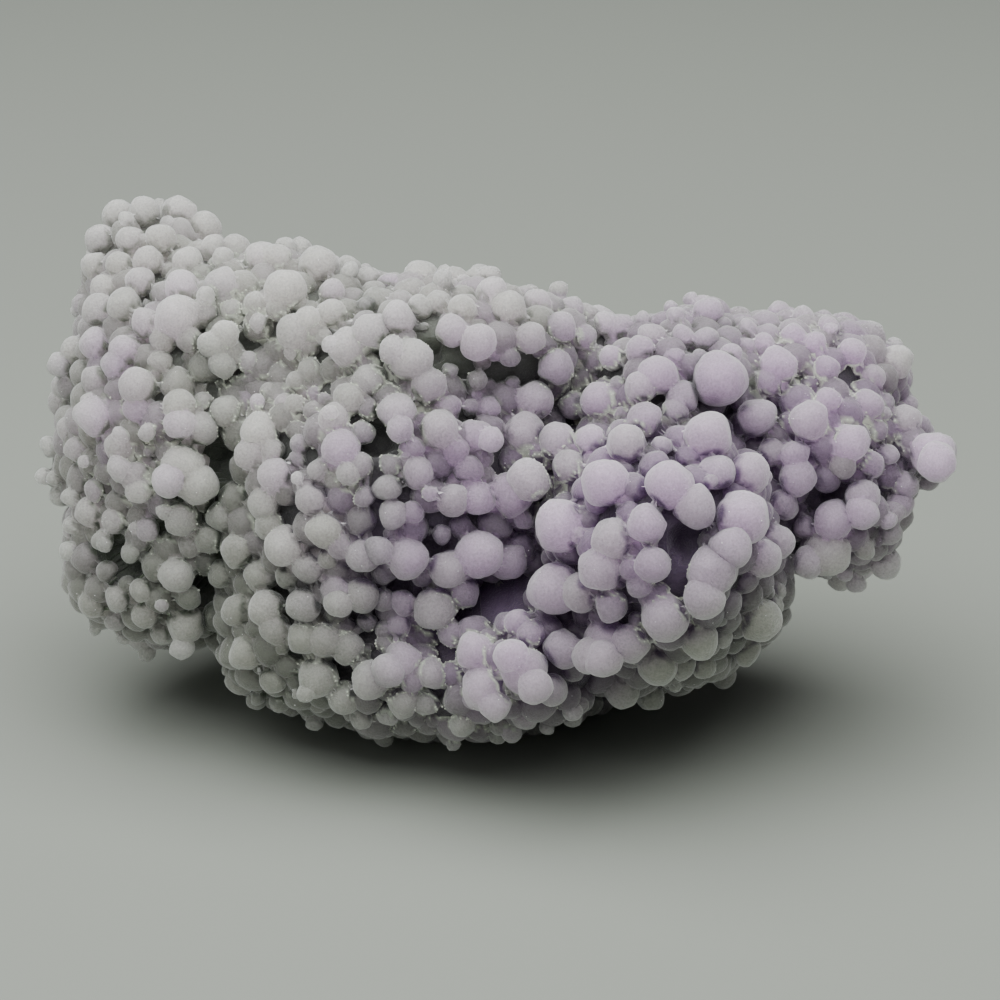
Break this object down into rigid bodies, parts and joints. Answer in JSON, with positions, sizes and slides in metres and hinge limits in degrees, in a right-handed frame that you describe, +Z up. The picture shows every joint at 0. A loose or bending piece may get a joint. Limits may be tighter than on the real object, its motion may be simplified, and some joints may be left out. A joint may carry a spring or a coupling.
{
  "type": "botryoidal chalcedony specimen",
  "caption": "Loose cluster of grape-like frosted chalcedony spherules, lavender to grey-green, grown together as one stone that rests on a flat cut underneath.",
  "frame": {"origin": "middle of the footprint, on the surface that the stone rests on", "axes": "+Z up, +X along the stone's longest extent, -Y towards the side that the picture shows"},
  "size_m": [0.0626, 0.041, 0.0354],
  "materials": {
    "frosted_chalcedony": "frosted, slightly translucent, lavender passing to grey-green, darker in the gaps"
  },
  "bodies": {
    "root": {"chalcedony_cluster": "frosted_chalcedony"}
  },
  "joints": []
}
